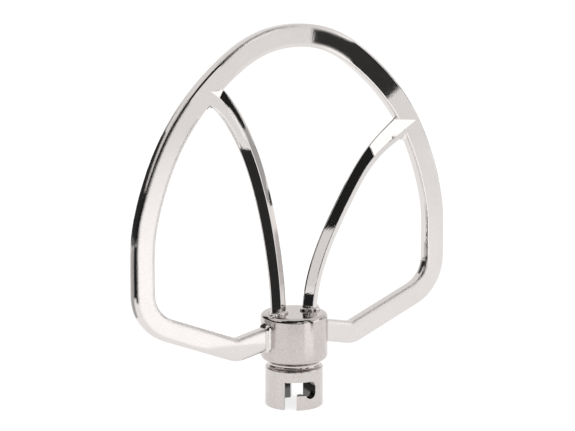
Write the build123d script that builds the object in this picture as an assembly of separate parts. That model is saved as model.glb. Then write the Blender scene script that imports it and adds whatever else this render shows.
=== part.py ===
from build123d import *
import os
from math import atan2, cos, radians, sin, tan

# Flat beater of a stand mixer, welded from bright stainless bar and turned steel, standing on its socket.
# Millimetres, Z up along the drive axis, the loop lies in the XZ plane, the front faces -Y.

# Outer loop, bent from flat bar
overall_height = 166.75
overall_width = 159.6
bar_width = 9.8
bar_depth = 5.0
bar_round = 0.9
# Points on the bar's centre line, as distance in from the side of the loop and down from its top
shoulder_points = ((38.7, 14.15), (14.3, 41.85), (1.2, 76.85))
corner_rise = 17.8
corner_radius = 17.5
elbow_out = 15.3
elbow_drop = 3.2
elbow_radius = 7.0
arm_root_rise = 11.0

# Blade bar of the two ribs
narrow_land = 2.1
wide_land = 5.4
bevel_run = 3.7
blade_thickness = 0.8
arris_round = 0.7
blade_round = 0.35
foot_inset = 6.5
# Where a rib meets the loop, measured along the loop from its top, and its lean from upright there
left_tip_along = 49.58
left_tip_lean = 54.0
right_tip_along = 77.21
right_tip_lean = 58.8
# Bow of each rib towards the axis, as distances from the chord at shares of the way from foot to tip
left_rib_bows = (5.32, 10.41, 9.11, 3.96)
left_bow_shares = (0.1842, 0.5231, 0.7934, 0.9445)
right_rib_bows = (7.02, 10.87, 7.87, 2.08)
right_bow_shares = (0.1757, 0.5255, 0.8206, 0.9534)

# The bevel flares from this share of a rib on, to its width at the loop, and runs out on the loop's face
flare_share = 0.58
left_tip_bevel = 4.6
left_runout_length = 4.25
right_tip_bevel = 6.6
right_runout_length = 7.8
rib_sections = 12

# Turned drive socket: sleeve, neck, and a spigot pressed in the collar
sleeve_radius = 12.7
sleeve_height = 17.5
sleeve_round = 0.6
neck_radius = 11.4
neck_height = 2.9
spigot_radius = 8.0
spigot_length = 14.0
spigot_clearance = 0.02
drive_bore_radius = 9.2
bore_end_wall = 2.4

# Turned collar
collar_radius = 14.7
collar_height = 20.8
collar_top_round = 1.9
collar_bottom_round = 2.3

# Bayonet slots for the cross pin, angles seen from above
pin_diameter = 5.0
entry_clearance = 0.3
seat_clearance = 0.15
run_clearance = 0.5
slot_angle = -131.0
seat_angle = -88.0
seat_bottom = 4.8
ledge_rise = 1.7

# Weld fillets
foot_weld_width = 1.3
foot_weld_height = 1.8
arm_weld_width = 1.3
arm_weld_length = 1.5
tip_weld = 1.6
weld_setback = 0.25

front = -bar_depth / 2
bevel_drop = (bar_depth - blade_thickness) / 2
collar_bottom = sleeve_height + neck_height
collar_top = collar_bottom + collar_height
apex_height = overall_height - bar_width / 2
loop_half_width = overall_width / 2 - bar_width / 2
arm_root_height = collar_bottom + arm_root_rise
elbow_height = arm_root_height - elbow_drop
elbow_x = collar_radius + elbow_out
corner_height = elbow_height + corner_rise
foot_offset = collar_radius - foot_inset


def at(x, z, y=0.0):
    return Vector(x, y, z)


def largest(shape):
    return max(shape.solids(), key=lambda s: s.volume)


# Centre line of the right half of the loop, from the apex down the limb and in along the arm
arm_angle = atan2(corner_rise, loop_half_width - elbow_x)
corner_tangent = corner_radius * tan((radians(90) - arm_angle) / 2)
limb = Spline(
    at(0, apex_height),
    *[at(loop_half_width - x, apex_height - z) for x, z in shoulder_points],
    at(loop_half_width, corner_height + corner_tangent),
    tangents=(Vector(1, 0, 0), Vector(0, 0, -1)),
)
corner_end = at(
    loop_half_width - corner_tangent * cos(arm_angle),
    corner_height - corner_tangent * sin(arm_angle),
)
corner = TangentArc(limb @ 1, corner_end, tangent=Vector(0, 0, -1))
root_slope = atan2(elbow_drop, elbow_out)
elbow_tangent = elbow_radius * tan((arm_angle + root_slope) / 2)
elbow_start = at(elbow_x + elbow_tangent * cos(arm_angle), elbow_height + elbow_tangent * sin(arm_angle))
elbow_end = at(elbow_x - elbow_tangent * cos(root_slope), elbow_height + elbow_tangent * sin(root_slope))
arm = Line(corner_end, elbow_start)
elbow = TangentArc(elbow_start, elbow_end, tangent=arm % 1)
inside = collar_radius / 2
root = Line(elbow_end, at(inside, arm_root_height + (collar_radius - inside) * tan(root_slope)))
half_path = Wire([limb.edge(), corner.edge(), arm.edge(), elbow.edge(), root.edge()])
bar_plane = Plane(origin=at(0, apex_height), x_dir=(0, 0, 1), z_dir=(1, 0, 0))
bar_section = bar_plane * RectangleRounded(bar_width, bar_depth, bar_round)
half_loop = sweep(bar_section, path=half_path)
loop = half_loop + mirror(half_loop, about=Plane.YZ)

collar_bar = Pos(0, 0, (collar_bottom + collar_top) / 2) * Cylinder(collar_radius, collar_height)
loop -= collar_bar


# Centre line of a rib, drawn for the right side: up from its foot, bowed, and on into the loop
def rib_line(shares, bows, along, lean):
    foot = at(foot_offset, collar_top)
    tip = limb.position_at(along, position_mode=PositionMode.LENGTH)
    chord = tip - foot
    bow_way = at(-chord.Z, chord.X).normalized()
    end_way = at(sin(radians(lean)), cos(radians(lean)))
    return Spline(
        foot - at(0, 2 * collar_top_round),
        foot,
        *[foot + chord * share + bow_way * bow for share, bow in zip(shares, bows)],
        tip + end_way * (bar_width / 2),
        tangents=(Vector(0, 0, 1), end_way),
    )


# Width of a rib's bevel at a share of its line: steady, then flaring to its width at the loop
def bevel_at(share, tip_share, tip_bevel):
    flare = max(0.0, (share - flare_share) / (tip_share - flare_share))
    return bevel_run + (tip_bevel - bevel_run) * flare**2


# Section of the blade bar: a land and a bevel on each side and a raked back, drawn for the right side
def blade_face(run, front_land, back_land):
    half = bar_depth / 2
    low = blade_thickness / 2
    edge = min(blade_round, low * 0.9)
    outline = Polyline(
        (-front_land, half),
        (0, half),
        (run, low),
        (run, -low),
        (0, -half),
        (-back_land, -half),
        close=True,
    )
    face = make_face(outline)
    face = fillet([v for v in face.vertices() if abs(v.X) < 0.01], arris_round)
    face = fillet([v for v in face.vertices() if abs(v.X - run) < 0.01], edge)
    return fillet([v for v in face.vertices() if v.X < -min(front_land, back_land) + 0.01], edge)


# A rib is lofted through even sections of its flaring bevel and stops halfway across the loop's bar
def rib_bar(line, tip_share, tip_bevel, front_land, back_land):
    sections = []
    for i in range(rib_sections + 1):
        share = (tip_share + 1) / 2 * i / rib_sections
        way = line % share
        plane = Plane(origin=line @ share, x_dir=at(-way.Z, way.X), z_dir=way)
        sections.append(plane * blade_face(bevel_at(share, tip_share, tip_bevel), front_land, back_land))
    bar = loft(sections)
    return split(bar, bisect_by=Plane.XY.offset(collar_top - collar_top_round), keep=Keep.TOP)


# Points along a line of the drawing, shifted to its right hand side by a distance that may change along it
def rail(line, shift, start):
    points = []
    for i in range(81):
        share = start + (1 - start) * i / 80
        way = line % share
        points.append(line @ share + at(way.Z, -way.X) * shift(share))
    return points


# Where two runs of points cross, and how far along the second run
def crossing(first, second):
    for a, b in zip(first, first[1:]):
        for i, (c, d) in enumerate(zip(second, second[1:])):
            r = b - a
            s = d - c
            turn = r.X * s.Z - r.Z * s.X
            if abs(turn) > 1e-9:
                u = ((c.X - a.X) * s.Z - (c.Z - a.Z) * s.X) / turn
                v = ((c.X - a.X) * r.Z - (c.Z - a.Z) * r.X) / turn
                if 0 <= u <= 1 and 0 <= v <= 1:
                    return a + r * u, (i + v) / (len(second) - 1)


# A run-out is a shallow three-sided facet, from the arris down to a deep corner on the edge of the loop
def runout(start, tip, deep):
    back = (start - tip).normalized() * (2 * bevel_run)
    outline = Polyline(tip, start + back, deep + back * 0.6, deep, close=True)
    prism = Pos(0, front - 0.5, 0) * extrude(make_face(outline), amount=bevel_drop + 0.5, dir=(0, 1, 0))
    low = deep + Vector(0, front + bevel_drop, 0)
    first = start + Vector(0, front, 0)
    normal = (tip - start).cross(low - first).normalized()
    if normal.Y > 0:
        normal = -normal
    return split(prism, bisect_by=Plane(origin=first, z_dir=normal), keep=Keep.TOP)


# Weld in the notch below a rib tip: a hollow-faced web, a little back from the front and back faces
def tip_bead(notch, rib_way, loop_way):
    inward = (rib_way + loop_way) * -tip_weld
    first = notch + rib_way * tip_weld
    last = notch + loop_way * tip_weld
    middle = notch + (rib_way + loop_way) * tip_weld * 0.28
    outline = Polyline(last, notch + inward, first) + ThreePointArc(first, middle, last)
    tall = bar_depth - 2 * weld_setback
    return extrude(make_face(outline), amount=tall / 2, both=True)


def flip(shape, side):
    return shape if side > 0 else mirror(shape, about=Plane.YZ)


# Collar with rounded shoulders and a bore for the spigot
rims = collar_bar.edges().filter_by(GeomType.CIRCLE).sort_by(Axis.Z)
collar = fillet(rims[-1], collar_top_round)
collar = fillet(collar.edges().filter_by(GeomType.CIRCLE).sort_by(Axis.Z)[0], collar_bottom_round)
spigot_seat = Cylinder(spigot_radius + spigot_clearance, spigot_length)
collar -= Pos(0, 0, collar_bottom + spigot_length / 2) * spigot_seat

# Each rib with its run-outs on the loop and its weld in the notch
inner_edge = rail(limb, lambda share: bar_width / 2, 0.0)
whole_loop = loop
ribs = {}
tips = {}
for name, side, shares, bows, along, lean, front_land, back_land, tip_bevel, length in (
    ("left", -1, left_bow_shares, left_rib_bows, left_tip_along, left_tip_lean, wide_land, narrow_land,
     left_tip_bevel, left_runout_length),
    ("right", 1, right_bow_shares, right_rib_bows, right_tip_along, right_tip_lean, narrow_land, wide_land,
     right_tip_bevel, right_runout_length),
):
    line = rib_line(shares, bows, along, lean)
    start, start_share = crossing(inner_edge, rail(line, lambda share: 0.0, 0.0))
    blade_edge = rail(line, lambda share: -bevel_at(share, start_share, tip_bevel), 0.0)
    deep, deep_share = crossing(blade_edge, inner_edge)
    wall = rail(line, lambda share: (front_land + back_land) / 2, 0.0)
    notch, notch_share = crossing(wall, inner_edge)
    tip_way = at(sin(radians(lean)), cos(radians(lean)))
    facet = flip(runout(start, start + tip_way * length, deep), side)
    bar = flip(rib_bar(line, start_share, tip_bevel, front_land, back_land), side)
    bar = largest(bar - whole_loop) - collar
    for cut in (facet, mirror(facet, about=Plane.XZ)):
        loop -= cut
        bar -= cut
    ribs[name] = largest(bar)
    tips[name] = flip(tip_bead(notch, -tip_way, limb % notch_share), side)

loop = largest(loop)
for name in ribs:
    tips[name] = largest(tips[name] - loop - ribs[name])

# Socket: sleeve, neck and spigot in one turning
sleeve = Pos(0, 0, sleeve_height / 2) * Cylinder(sleeve_radius, sleeve_height)
sleeve = fillet(sleeve.edges().filter_by(GeomType.CIRCLE), sleeve_round)
neck = Pos(0, 0, sleeve_height + neck_height / 2) * Cylinder(neck_radius, neck_height)
spigot = Pos(0, 0, collar_bottom + spigot_length / 2) * Cylinder(spigot_radius, spigot_length)
socket = sleeve + neck + spigot
bore_depth = collar_bottom - bore_end_wall
socket -= Pos(0, 0, bore_depth / 2) * Cylinder(drive_bore_radius, bore_depth)


# One bayonet slot: entry from the mouth, turn to the seat, and the seat that drops back
def bayonet(turn):
    reach = sleeve_radius * 1.3
    ledge = seat_bottom + ledge_rise
    slot_top = ledge + pin_diameter + 2 * run_clearance
    entry = Box(reach, pin_diameter + 2 * entry_clearance, slot_top + 2)
    entry = Rot(0, 0, slot_angle + turn) * Pos(reach / 2, 0, slot_top / 2 - 1) * entry
    steps = 6
    arc = [radians(slot_angle + turn + (seat_angle - slot_angle) * i / steps) for i in range(steps + 1)]
    wedge = make_face(Polyline((0, 0), *[(reach * cos(a), reach * sin(a)) for a in arc], close=True))
    run = Pos(0, 0, ledge) * extrude(wedge, amount=slot_top - ledge)
    seat = Plane.YZ * SlotOverall(slot_top - seat_bottom, pin_diameter + 2 * seat_clearance, rotation=90)
    seat = Pos(0, 0, (slot_top + seat_bottom) / 2) * extrude(seat, amount=reach)
    return entry + run + Rot(0, 0, seat_angle + turn) * seat


socket -= bayonet(0)
socket -= bayonet(180)


# Weld round a rib foot: a rounded skirt on the top of the collar, cut out for the rib
def foot_bead(bar, side, front_land, back_land):
    half = bar_depth / 2
    low = blade_thickness / 2
    inner = foot_offset - bevel_run
    corners = (
        (foot_offset + front_land, -half),
        (foot_offset, -half),
        (inner, -low),
        (inner, low),
        (foot_offset, half),
        (foot_offset + back_land, half),
    )
    foot = make_face(Polyline(*[(side * x, y) for x, y in corners], close=True))
    rings = []
    for rise, share in ((-collar_top_round, 1.0), (0.35 * foot_weld_height, 0.95),
                        (0.75 * foot_weld_height, 0.6), (foot_weld_height, 0.12)):
        ring = offset(foot, amount=foot_weld_width * share, kind=Kind.INTERSECTION)
        rings.append(Pos(0, 0, collar_top + rise) * ring.face())
    return largest((loft(rings, ruled=True) & post) - collar - bar)


post = Pos(0, 0, collar_top) * Cylinder(collar_radius, 4 * (collar_top_round + foot_weld_height))


# Weld round the root of an arm: a rounded collar about the bar, laid in runs along its four sides
def arm_beads(side):
    rings = []
    for out, share in ((-0.7, 1.0), (0.3, 0.95), (0.7, 0.6), (1.0, 0.12)):
        grow = 2 * arm_weld_width * share
        reach = out * arm_weld_length
        centre = at(collar_radius + reach, arm_root_height - reach * tan(root_slope))
        ring = RectangleRounded(bar_depth + grow, bar_width / cos(root_slope) + grow, bar_round + grow / 2)
        rings.append(Plane(origin=centre, x_dir=(0, 1, 0), z_dir=(1, 0, 0)) * ring)
    ring = flip(loft(rings, ruled=True), side) - collar_bar - loop
    half = bar_depth / 2
    front_run = split(ring, bisect_by=Plane.XZ.offset(half), keep=Keep.TOP)
    between = split(split(ring, bisect_by=Plane.XZ.offset(half), keep=Keep.BOTTOM),
                    bisect_by=Plane.XZ.offset(-half), keep=Keep.TOP)
    upper = [s for s in between.solids() if s.center().Z > arm_root_height]
    lower = [s for s in between.solids() if s.center().Z < arm_root_height]
    return {
        "front": largest(front_run),
        "back": mirror(largest(front_run), about=Plane.XZ),
        "top": max(upper, key=lambda s: s.volume),
        "bottom": max(lower, key=lambda s: s.volume),
    }


nodes = {
    "outer_loop": loop,
    "left_rib": ribs["left"],
    "right_rib": ribs["right"],
    "hub_collar": collar,
    "drive_socket": socket,
    "left_foot_weld": foot_bead(ribs["left"], -1, wide_land, narrow_land),
    "right_foot_weld": foot_bead(ribs["right"], 1, narrow_land, wide_land),
    "left_tip_weld": tips["left"],
    "right_tip_weld": tips["right"],
}
for name, side in (("left", -1), ("right", 1)):
    for place, bead in arm_beads(side).items():
        nodes[name + "_arm_weld_" + place] = bead

os.makedirs("parts", exist_ok=True)
for name, shape in nodes.items():
    export_step(shape, "parts/" + name + ".step")
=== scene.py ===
import math

import bmesh
import bpy
import numpy as np
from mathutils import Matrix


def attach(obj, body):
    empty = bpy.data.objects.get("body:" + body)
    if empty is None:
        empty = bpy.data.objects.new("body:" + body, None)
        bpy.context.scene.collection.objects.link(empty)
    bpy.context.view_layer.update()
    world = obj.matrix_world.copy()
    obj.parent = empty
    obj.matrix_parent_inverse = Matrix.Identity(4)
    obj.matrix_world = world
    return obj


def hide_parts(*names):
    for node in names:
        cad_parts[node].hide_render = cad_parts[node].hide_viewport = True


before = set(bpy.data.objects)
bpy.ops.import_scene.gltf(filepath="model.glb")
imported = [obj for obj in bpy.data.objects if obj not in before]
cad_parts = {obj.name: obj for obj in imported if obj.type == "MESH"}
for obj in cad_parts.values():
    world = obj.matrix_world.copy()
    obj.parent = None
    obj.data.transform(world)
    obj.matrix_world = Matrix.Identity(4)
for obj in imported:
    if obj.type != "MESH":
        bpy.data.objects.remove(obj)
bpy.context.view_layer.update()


# Drive socket: the turned stainless sleeve that goes on the mixer's shaft, with its bore and bayonet slots.
# It is turned from bar and polished, so fine rings run round it.
# The bore and the walls of the slots are coloured dark as painted shade.
class Value:
    """A node output that takes part in sums: each operator adds one Math node."""

    def __init__(self, tree, socket):
        self.tree = tree
        self.socket = socket

    def _math(self, operation, first, second):
        node = self.tree.nodes.new("ShaderNodeMath")
        node.operation = operation
        for slot, item in zip(node.inputs, (first, second)):
            if isinstance(item, Value):
                self.tree.links.new(item.socket, slot)
            else:
                slot.default_value = item
        return Value(self.tree, node.outputs[0])

    def __add__(self, other):
        return self._math("ADD", self, other)

    def __radd__(self, other):
        return self._math("ADD", other, self)

    def __sub__(self, other):
        return self._math("SUBTRACT", self, other)

    def __rsub__(self, other):
        return self._math("SUBTRACT", other, self)

    def __mul__(self, other):
        return self._math("MULTIPLY", self, other)

    def __rmul__(self, other):
        return self._math("MULTIPLY", other, self)


class Finish:
    """A finish: a material with one Principled shader, whose sockets take numbers, colours or Values."""

    def __init__(self, name, **fixed):
        self.material = bpy.data.materials.new(name)
        self.material.use_nodes = True
        self.tree = self.material.node_tree
        self.shader = self.tree.nodes["Principled BSDF"]
        for socket, value in fixed.items():
            self.shader.inputs[socket.replace("_", " ")].default_value = value

    def node(self, kind, settings, sockets, output=0):
        """Adds a node, sets it up, fills its sockets with values or links, and returns one output."""
        node = self.tree.nodes.new(kind)
        for key, value in settings.items():
            setattr(node, key, value)
        for key, value in sockets.items():
            if isinstance(value, Value):
                self.tree.links.new(value.socket, node.inputs[key])
            else:
                node.inputs[key].default_value = value
        return Value(self.tree, node.outputs[output])

    def where(self):
        """The point on the piece, in Object coordinates."""
        return self.node("ShaderNodeTexCoord", {}, {}, "Object")

    def axes(self):
        """The three Object coordinates, in metres."""
        parts = self.node("ShaderNodeSeparateXYZ", {}, {0: self.where()}).socket.node
        return [Value(self.tree, output) for output in parts.outputs]

    def noise(self, per_metre, detail, scale=(1.0, 1.0, 1.0)):
        """Soft noise from about 0 to 1: that many features a metre, times the scale along each axis."""
        place = self.node("ShaderNodeMapping", {}, {"Vector": self.where(), "Scale": scale})
        sockets = {"Vector": place, "Scale": per_metre, "Detail": detail}
        return self.node("ShaderNodeTexNoise", {}, sockets, "Fac")

    def clamp(self, value):
        """A value kept between 0 and 1."""
        return self.node("ShaderNodeClamp", {}, {0: value})

    def blend(self, share, first, second):
        """One colour that turns to a second by a share from 0 to 1."""
        # A Mix node has its colours in sockets 6 and 7, and gives the mixed one in output 2
        return self.node("ShaderNodeMix", {"data_type": "RGBA"}, {0: share, 6: first, 7: second}, 2)

    def rounded(self, share, radius):
        """The normal, which a share from 0 to 1 turns to that of edges rounded by a radius in metres."""
        plain = self.node("ShaderNodeNewGeometry", {}, {}, "Normal")
        bevel = self.node("ShaderNodeBevel", {"samples": 8}, {"Radius": radius})
        # A Mix node has its vectors in sockets 4 and 5, and gives the mixed one in output 1
        return self.node("ShaderNodeMix", {"data_type": "VECTOR"}, {0: share, 4: plain, 5: bevel}, 1)

    def feed(self, socket, value):
        """Links a value to one of the shader's sockets."""
        self.tree.links.new(value.socket, self.shader.inputs[socket])

    def bump(self, height, strength, distance, normal=None):
        """Lets a height move the surface's normal, from the plain normal or from the one given."""
        sockets = {"Height": height, "Strength": strength, "Distance": distance}
        if normal:
            sockets["Normal"] = normal
        moved = self.node("ShaderNodeBump", {}, sockets)
        self.feed("Normal", moved)
        return moved

    def on(self, name):
        """Puts the finish on a CAD piece."""
        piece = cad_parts[name]
        piece.data.materials.clear()
        piece.data.materials.append(self.material)


def darker(tone, share):
    """A colour times a share."""
    return tuple(share * part for part in tone[:3]) + (1.0,)


def turned_finish(name, tone, top_dull, side_dull, top, rings_per_metre, edge):
    """Turned and polished steel: rings round the axis, from noise drawn out along X and Y, clouds and specks.

    Above a top height it has the top's roughness, and its edges mirror as if rounded by a radius. Below, it
    has the side's roughness and plain edges. The change takes two thirds of a millimetre.
    """
    top_sharpness = 1500.0
    speck_tone = darker(tone, 0.74)
    finish = Finish(name, Metallic=1.0)
    upper = finish.clamp((finish.axes()[2] - top) * top_sharpness)
    rings = finish.noise(rings_per_metre, detail=1.0, scale=(0.02, 0.02, 1.0))
    cloud = finish.noise(per_metre=330.0, detail=3.0, scale=(1.0, 1.0, 0.6))
    speck = finish.noise(per_metre=1500.0, detail=2.0)
    speck_share = 0.35 * cloud + 1.3 * speck - 0.32
    finish.tone = finish.blend(speck_share, tone, speck_tone)
    finish.feed("Base Color", finish.tone)
    dull = side_dull + (top_dull - side_dull) * upper
    finish.feed("Roughness", dull + 0.04 * rings + 0.05 * speck)
    relief = rings * 0.4 + cloud * 0.6
    finish.skin = finish.bump(relief, strength=0.06, distance=0.0002, normal=finish.rounded(upper, edge))
    return finish


sleeve_finish = turned_finish(
    "polished_sleeve",
    # The tone is the steel's colour, darkened below the bars' as painted shade for the shaded table that the
    # sleeve mirrors.
    tone=(0.68, 0.635, 0.62, 1.0),
    top_dull=0.03,
    side_dull=0.08,
    top=0.0155,
    rings_per_metre=2400.0,
    edge=0.0008,
)
across, along, up = sleeve_finish.axes()

# Painted shade: the bore and the slot walls, which lie inside the sleeve's skin and below the neck, are
# coloured dark
skin_radius = 0.01245
skin_sharpness = 4.0e5
neck_foot = 0.017
neck_sharpness = 4000.0
bore_shade_tone = (0.16, 0.155, 0.15, 1.0)
radius_squared = across * across + along * along
inside_skin = sleeve_finish.clamp((skin_radius**2 - radius_squared) * skin_sharpness)
below_neck = sleeve_finish.clamp((neck_foot - up) * neck_sharpness)
sleeve_finish.feed("Base Color", sleeve_finish.blend(inside_skin * below_neck, sleeve_finish.tone, bore_shade_tone))

# The neck mirrors like a hollow groove: a height that grows with the square of the distance from its middle
neck_middle = 0.01895
neck_half_height = 0.00145
neck_hollow = 0.0009
off_middle = (up - neck_middle) * (1.0 / neck_half_height)
hollow = sleeve_finish.clamp(off_middle * off_middle)
sleeve_finish.bump(hollow, strength=1.0, distance=neck_hollow, normal=sleeve_finish.skin)
sleeve_finish.on("drive_socket")


# Hub collar: the turned steel block that carries the arms and the ribs, pressed on the socket's spigot.
# Its side is polished with fine rings, and its top is a bright mirror.
collar_finish = turned_finish(
    "polished_collar",
    # The tone is the steel's colour, darkened below the bars' as painted shade for the shaded table that the
    # collar mirrors.
    tone=(0.63, 0.585, 0.57, 1.0),
    top_dull=0.03,
    side_dull=0.11,
    top=0.0385,
    rings_per_metre=1800.0,
    edge=0.0010,
)
collar_finish.on("hub_collar")


# Outer loop: flat stainless bar bent to a heart shape and ground flat on its front and back.
# Polishing leaves a bright face with a faint mottle and a fine grain, and wears the edges round.
def bar_finish(name, tone, dull, edge, clear, full, where_rounded):
    """Polished bar: mottle and grain move tone, gloss and normal, and edges mirror as if rounded by a radius.

    A function of X and Z says where edges are rounded. Round the places where the ribs run out on the loop,
    the plain normal holds out to a clear distance and gives way up to a full one.
    """
    run_outs = ((-0.0400, 0.1385), (0.0585, 0.1180))
    grain_tone = darker(tone, 0.84)
    finish = Finish(name, Metallic=1.0)
    mottle = finish.noise(per_metre=90.0, detail=3.0)
    grain = finish.noise(per_metre=1700.0, detail=2.0)
    grain_share = 0.4 * mottle + 1.1 * grain - 0.25
    finish.feed("Base Color", finish.blend(grain_share, tone, grain_tone))
    finish.feed("Roughness", dull + 0.025 * mottle + 0.025 * grain)
    across, _, up = finish.axes()
    edge_share = where_rounded(finish, across, up)
    for run_out_x, run_out_z in run_outs:
        aside = across - run_out_x
        above = up - run_out_z
        off_squared = aside * aside + above * above
        edge_share = edge_share * finish.clamp((off_squared - clear**2) * (1.0 / (full**2 - clear**2)))
    relief = mottle * 0.7 + grain * 0.3
    finish.bump(relief, strength=0.05, distance=0.0003, normal=finish.rounded(edge_share, edge))
    return finish


def left_and_low(finish, across, up):
    """The loop left of a limit in X, and its lower corners below a limit in Z, each with a soft border."""
    left_limit = 0.03
    left_sharpness = 80.0
    low_limit = 0.066
    low_sharpness = 300.0
    left = finish.clamp((left_limit - across) * left_sharpness)
    low = finish.clamp((low_limit - up) * low_sharpness)
    return finish.clamp(left + low)


loop_finish = bar_finish(
    "polished_bar",
    tone=(0.74, 0.705, 0.69, 1.0),
    dull=0.015,
    edge=0.0027,
    clear=0.0114,
    full=0.0135,
    where_rounded=left_and_low,
)
loop_finish.on("outer_loop")


# Ribs: two steel blade bars with a land and a bevel on each side, welded to the collar and the loop.
# They are finer polished than the loop, so reflections in them are sharp.
def high(finish, across, up):
    """The ribs' upper ends, where polishing wears the edge between land and bevel most."""
    worn_from = 0.115
    worn_sharpness = 150.0
    return finish.clamp((up - worn_from) * worn_sharpness)


rib_steel = (0.74, 0.71, 0.695, 1.0)
rib_dull = 0.01
for side, edge, clear, full in (
    ("left", 0.0024, 0.0035, 0.0100),
    ("right", 0.0007, 0.0060, 0.0070),
):
    rib_finish = bar_finish(f"polished_{side}_blade", rib_steel, rib_dull, edge, clear, full, high)
    rib_finish.on(f"{side}_rib")


# Arm welds: short runs of weld steel where the ends of the loop meet the collar, on four sides of each arm.
# They are dressed and polished over, and stay a little duller than the bars, with a low ripple.
bead_finish = Finish("dressed_weld", Metallic=1.0)
bead_tone = (0.76, 0.73, 0.715, 1.0)
bead_hollow_tone = (0.60, 0.57, 0.555, 1.0)
bead_dull = 0.06
ripple = bead_finish.noise(per_metre=900.0, detail=2.0)
bead_finish.feed("Base Color", bead_finish.blend(ripple, bead_tone, bead_hollow_tone))
bead_finish.feed("Roughness", bead_dull + 0.10 * ripple)
bead_finish.bump(ripple, strength=0.2, distance=0.0003)
for side in ("left", "right"):
    for run in ("front", "back", "top", "bottom"):
        bead_finish.on(f"{side}_arm_weld_{run}")


# Foot welds: a bead of weld steel round the foot of each rib, on the collar's shoulder.
# It is laid by hand in lumps, one beside the other, and polished over like the runs at the arms.
def foot_bead(corners, phase):
    """A tube round a rib's foot that swells in lumps along its way.

    The foot's corners, in metres, make a closed outline with evenly spread points, smoothed by a running
    mean. Round each point goes a circle, in the plane of the outward normal and Z. Its radius is a mean
    radius times one plus two sines of the way round, of 7 and 12 waves.
    """
    points_round = 144
    points_in_circle = 24
    mean_reach = 4
    mean_radius = 0.00085
    stand_off = 0.00025
    bead_height = 0.0415
    ring = np.array(corners + corners[:1], dtype=float)
    steps = np.hypot(*np.diff(ring, axis=0).T)
    way = np.concatenate([[0.0], np.cumsum(steps)])
    even = np.linspace(0.0, way[-1], points_round + 1)[:-1]
    line = np.stack([np.interp(even, way, ring[:, axis]) for axis in (0, 1)], axis=-1)
    shifts = range(-mean_reach, mean_reach + 1)
    line = np.mean([np.roll(line, shift, axis=0) for shift in shifts], axis=0)
    along_line = np.roll(line, -1, axis=0) - np.roll(line, 1, axis=0)
    outward = np.stack([along_line[:, 1], -along_line[:, 0]], axis=-1)
    outward /= np.linalg.norm(outward, axis=1)[:, None]
    outward *= np.sign(np.sum(outward * (line - line.mean(axis=0))))
    turn = np.linspace(0.0, 2 * np.pi, points_in_circle + 1)[None, :]
    round_share = 2 * np.pi * even / way[-1]
    swell = 0.20 * np.sin(7 * round_share + phase) + 0.12 * np.sin(12 * round_share + 2 * phase)
    radius = mean_radius * (1 + swell)[:, None]
    out = stand_off + radius * np.cos(turn)
    flat = line[:, None, :] + outward[:, None, :] * out[..., None]
    height = bead_height + radius * np.sin(turn)
    grid = np.concatenate([flat, height[..., None]], axis=-1)
    return np.concatenate([grid, grid[:1]])


def grid_piece(name, grid):
    """A smooth mesh from a grid of points, rows by columns."""
    rows, columns = grid.shape[:2]
    index = np.arange(rows * columns).reshape(rows, columns)
    corners = [index[:-1, :-1], index[:-1, 1:], index[1:, 1:], index[1:, :-1]]
    faces = np.stack(corners, axis=-1).reshape(-1, 4)
    mesh = bpy.data.meshes.new(name)
    mesh.from_pydata(grid.reshape(-1, 3).tolist(), [], faces.tolist())
    mesh.polygons.foreach_set("use_smooth", [True] * len(mesh.polygons))
    piece = bpy.data.objects.new(name, mesh)
    bpy.context.scene.collection.objects.link(piece)
    return piece


def closed_piece(name, grid):
    """A grid's mesh with the points of its seams and poles merged, faces outwards and corners kept crisp."""
    merge_distance = 1.0e-6
    crisp_angle = math.radians(50.0)
    piece = grid_piece(name, grid)
    shell = bmesh.new()
    shell.from_mesh(piece.data)
    bmesh.ops.remove_doubles(shell, verts=shell.verts, dist=merge_distance)
    bmesh.ops.recalc_face_normals(shell, faces=shell.faces)
    shell.to_mesh(piece.data)
    shell.free()
    piece.data.set_sharp_from_angle(angle=crisp_angle)
    return piece


inner_edge = 0.0045
inner_half_depth = 0.0004
land_start = 0.0082
land_half_depth = 0.0025
for name, side, front_land, back_land, phase in (
    ("left_foot_weld", -1, 0.0054, 0.0021, 0.4),
    ("right_foot_weld", 1, 0.0021, 0.0054, 1.9),
):
    foot = (
        (land_start + front_land, -land_half_depth),
        (land_start, -land_half_depth),
        (inner_edge, -inner_half_depth),
        (inner_edge, inner_half_depth),
        (land_start, land_half_depth),
        (land_start + back_land, land_half_depth),
    )
    bead = closed_piece(name + "_bead", foot_bead([(side * x, y) for x, y in foot], phase))
    bead.data.materials.append(bead_finish.material)
    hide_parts(name)
    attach(bead, "root")


# Tip welds: a web of weld steel in the notch between the tip of each rib and the loop.
# It fills the corner from front to back and is ground, which leaves it pale and duller than the bars.
def notch_web(front, back, first_way, last_way):
    """A web in the notch between a rib and the loop, in rings of points from front to back.

    The notch's corner, X and Z in metres, moves evenly from front to back. From it, one leg lies along each
    bar. A ring goes from leg to leg on a parabola that nears the corner, and back by a point just behind the
    corner. The end rings shrink to the corner.
    """
    ring_count = 9
    curve_points = 13
    leg = 0.0016
    half_depth = 0.00225
    pull = 0.06
    share = np.linspace(0.0, 1.0, ring_count)[:, None, None]
    corner = np.array(front) * (1 - share) + np.array(back) * share
    first_leg = leg * np.array(first_way)
    last_leg = leg * np.array(last_way)
    bend = pull * (first_leg + last_leg)
    part = np.linspace(0.0, 1.0, curve_points)[:, None]
    curve = (1 - part) ** 2 * first_leg + 2 * part * (1 - part) * bend + part**2 * last_leg
    rings = corner + np.concatenate([curve, -bend[None], curve[:1]])
    rings = np.concatenate([0.0 * rings[:1] + corner[:1], rings, 0.0 * rings[:1] + corner[-1:]])
    depth = np.concatenate([[-half_depth], np.linspace(-half_depth, half_depth, ring_count), [half_depth]])
    return np.stack([rings[..., 0], depth[:, None] + 0.0 * rings[..., 0], rings[..., 1]], axis=-1)


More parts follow.
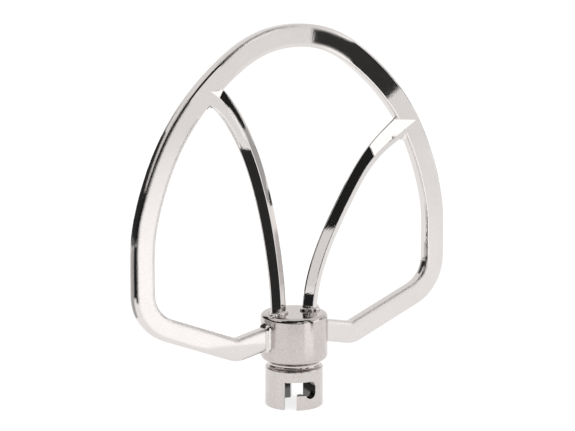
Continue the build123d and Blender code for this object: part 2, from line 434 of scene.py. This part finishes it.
notch_finish = Finish("ground_weld", Metallic=1.0)
notch_tone = (0.86, 0.83, 0.815, 1.0)
notch_grain_tone = (0.74, 0.71, 0.695, 1.0)
notch_dull = 0.25
notch_grain = notch_finish.noise(per_metre=1700.0, detail=2.0)
notch_finish.feed("Base Color", notch_finish.blend(notch_grain, notch_tone, notch_grain_tone))
notch_finish.feed("Roughness", notch_dull + 0.1 * notch_grain)
for name, front, back, first_way, last_way in (
    ("left_tip_weld", (-0.04339, 0.13453), (-0.04104, 0.13688), (0.809, -0.588), (-0.706, -0.708)),
    ("right_tip_weld", (0.05759, 0.11536), (0.05912, 0.11243), (0.463, -0.886), (-0.855, -0.518)),
):
    web = closed_piece(name + "_web", notch_web(front, back, first_way, last_way))
    web.data.materials.append(notch_finish.material)
    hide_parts(name)
    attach(web, "root")


# Camera: a long lens in front of the beater, to its left and a little above it.
# Its focal length and the middle of the image are in pixels, and its sensor's width is in millimetres.
image_width = 575.0
image_middle = (287.5, 215.5)
focal_pixels = 1960.0
sensor_width = 36.0
camera_data = bpy.data.cameras.new("camera")
camera_data.sensor_width = sensor_width
camera_data.lens = sensor_width * focal_pixels / image_width
camera = bpy.data.objects.new("camera", camera_data)
camera.location = (-0.45604, -0.69699, 0.23828)
camera.rotation_euler = (math.radians(79.5), 0.0, math.radians(-33.0))
bpy.context.scene.collection.objects.link(camera)
bpy.context.scene.camera = camera


# Table: a wide white sheet under the beater, so pale that it shows no edge.
# It glows by itself, and takes a little of the light from above.
def grey(level):
    """A grey colour."""
    return (level, level, level, 1.0)


def sheet_piece(name, grid, glow, albedo=0.0, far_glow=None):
    """A stage sheet from a grid of points that glows, evenly or turning to a far glow with the distance."""
    fade_start = 0.35
    fade_length = 0.5
    sheet = Finish(
        name,
        Base_Color=grey(albedo),
        Roughness=1.0,
        Specular_IOR_Level=0.0,
        Emission_Color=grey(glow),
        Emission_Strength=1.0,
    )
    if far_glow is not None:
        off_axis = sheet.node("ShaderNodeVectorMath", {"operation": "LENGTH"}, {0: sheet.where()}, "Value")
        share = sheet.clamp((off_axis - fade_start) * (1.0 / fade_length))
        sheet.feed("Emission Color", sheet.blend(share, grey(glow), grey(far_glow)))
    piece = grid_piece(name, grid)
    piece.data.materials.append(sheet.material)
    return piece


def band(turns, radii, heights):
    """A band round the drive axis: azimuths in degrees, with 0 in front, by pairs of radius and height."""
    points_round = 49
    turn = np.radians(np.linspace(turns[0], turns[1], points_round))[None, :]
    radius = np.array(radii)[:, None]
    height = np.array(heights)[:, None] + 0.0 * turn
    return np.stack([radius * np.sin(turn), -radius * np.cos(turn), height], axis=-1)


def floor_band(turns, radii, height):
    """A band at one height."""
    return band(turns, radii, [height] * len(radii))


table_radii = (0.0, 0.3, 1.0, 6.0)
table_height = 0.0
all_round = (0.0, 360.0)
sheet_piece("table_top", floor_band(all_round, table_radii, table_height), glow=0.80, albedo=0.25)


# Cards: dark, grey and bright boards of a photographer's studio, held round the beater and laid on the table.
# They are there for the steel to mirror, and show in nothing else.
def card(name, grid, glow, far_glow=None):
    """A board that neither the camera nor the table sees."""
    piece = sheet_piece(name, grid, glow, far_glow=far_glow)
    piece.visible_camera = False
    piece.visible_diffuse = False
    piece.visible_shadow = False
    piece.visible_transmission = False


def wall(turns, elevations):
    """An upright band, from one elevation in degrees to another as seen from a height on the axis."""
    distance = 1.6
    eye_height = 0.08
    heights = [eye_height + distance * math.tan(math.radians(elevation)) for elevation in elevations]
    return band(turns, (distance, distance), heights)


for name, turns, elevations, glow in (
    ("flag_by_camera", (-80.0, 0.3), (18.5, 45.0), 0.02),
    ("flag_beside_left", (-118.0, -36.0), (-6.0, 18.6), 0.02),
    ("flag_beside_right", (-8.0, 11.0), (-6.0, 13.0), 0.02),
    ("flag_above", (-70.0, 40.0), (32.0, 66.0), 0.02),
    ("flag_right", (66.3, 82.0), (8.3, 20.0), 0.02),
    ("grey_right", (78.0, 95.0), (-2.8, 8.3), 0.48),
    ("bright_by_tip", (57.0, 65.8), (17.5, 28.0), 1.55),
    ("bright_box", (1.6, 30.0), (14.0, 30.5), 1.55),
    ("bright_right", (38.0, 60.0), (-4.0, 15.0), 1.6),
):
    card(name, wall(turns, elevations), glow)

for name, turns, radii, height, glow in (
    ("grey_behind", (-150.0, -112.0), (0.12, 0.85), 0.002, 0.48),
    ("flag_table_left", (-112.0, -55.0), (0.26, 1.6), 0.002, 0.02),
    ("flag_table_front", (-55.0, 0.0), (0.2, 0.8), 0.002, 0.02),
    ("bright_table_right", (42.0, 60.0), (0.7, 1.6), 0.004, 1.6),
):
    card(name, floor_band(turns, radii, height), glow)

fading_radii = (0.1, 0.5, 1.0, 3.0)
fading_height = 0.003
for name, turns, glow, far_glow in (
    ("bright_front", (2.0, 33.0), 1.42, 1.02),
    ("pale_front", (33.0, 62.0), 1.13, 1.00),
):
    card(name, floor_band(turns, fading_radii, fading_height), glow, far_glow)


def upright(depth, left, right):
    """A board at one depth in Y: the X, the lower and the upper height of its left and right ends."""
    ends = np.array([left, right])
    depths = np.full(len(ends), depth)
    return np.stack([np.stack([ends[:, 0], depths, ends[:, side]], axis=-1) for side in (1, 2)])


for name, depth, left, right, glow in (
    ("flag_behind", 0.25, (-0.62, 0.065, 0.235), (-0.05, 0.065, 0.235), 0.03),
    ("flag_behind_low", 0.25, (-0.62, 0.045, 0.065), (-0.05, 0.045, 0.065), 0.15),
    ("flag_near_left", -0.25, (-0.30, 0.05, 0.24), (-0.11, 0.05, 0.24), 0.02),
    ("flag_near_top", -0.25, (-0.11, 0.140, 0.30), (0.044, 0.186, 0.30), 0.02),
):
    card(name, upright(depth, left, right), glow)


def mirror_card(pixels, reach):
    """Points of the image carried through the mirror of the loop's front to a plane that far before it.

    A pixel gives a ray from the camera. Where it meets the front it is turned back, and followed on.
    """
    loop_front = -0.0025
    image = np.array(pixels)
    right = (image[..., 0] - image_middle[0]) / focal_pixels
    upward = (image_middle[1] - image[..., 1]) / focal_pixels
    turned = np.array(camera.rotation_euler.to_matrix())
    ray = np.stack([right, upward, -np.ones_like(right)], axis=-1) @ turned.T
    eye = np.array(camera.location)
    hit = eye + ray * ((loop_front - eye[1]) / ray[..., 1])[..., None]
    back = ray * np.array([1.0, -1.0, 1.0])
    return hit + back * (reach / -back[..., 1])[..., None]


# Pixels on both sides of the dark stretch at the top of the loop
top_pixels = (
    ((313, 15), (313, 58)),
    ((350, 22), (350, 78)),
    ((396, 62), (378, 101)),
    ((404, 84), (382, 103)),
)
# Pixels on both sides of the left rib, at the ends of its dark stretch
left_rib_pixels = (
    ((225, 147), (266, 151)),
    ((262, 316), (290, 316)),
)
card("flag_top", mirror_card(top_pixels, reach=0.12), glow=0.035)
card("flag_left_rib", mirror_card(left_rib_pixels, reach=0.07), glow=0.03)


# Room: a pale room all round, and one wide soft box above the beater that lights the table.
# The soft box shows neither in the image nor in the steel.
world = bpy.data.worlds.new("pale_room")
world.use_nodes = True
world.node_tree.nodes["Background"].inputs["Color"].default_value = (1.0, 0.99, 0.985, 1.0)
world.node_tree.nodes["Background"].inputs["Strength"].default_value = 0.95
bpy.context.scene.world = world
bpy.context.scene.view_settings.view_transform = "Standard"

light_data = bpy.data.lights.new("soft_box_over", "AREA")
light_data.shape = "RECTANGLE"
light_data.size = 0.9
light_data.size_y = 0.7
light_data.energy = 5.0
light = bpy.data.objects.new("soft_box_over", light_data)
light.location = (-0.15, -0.35, 0.95)
light.rotation_euler = (math.radians(16.0), 0.0, math.radians(-38.0))
light.visible_camera = False
light.visible_glossy = False
bpy.context.scene.collection.objects.link(light)
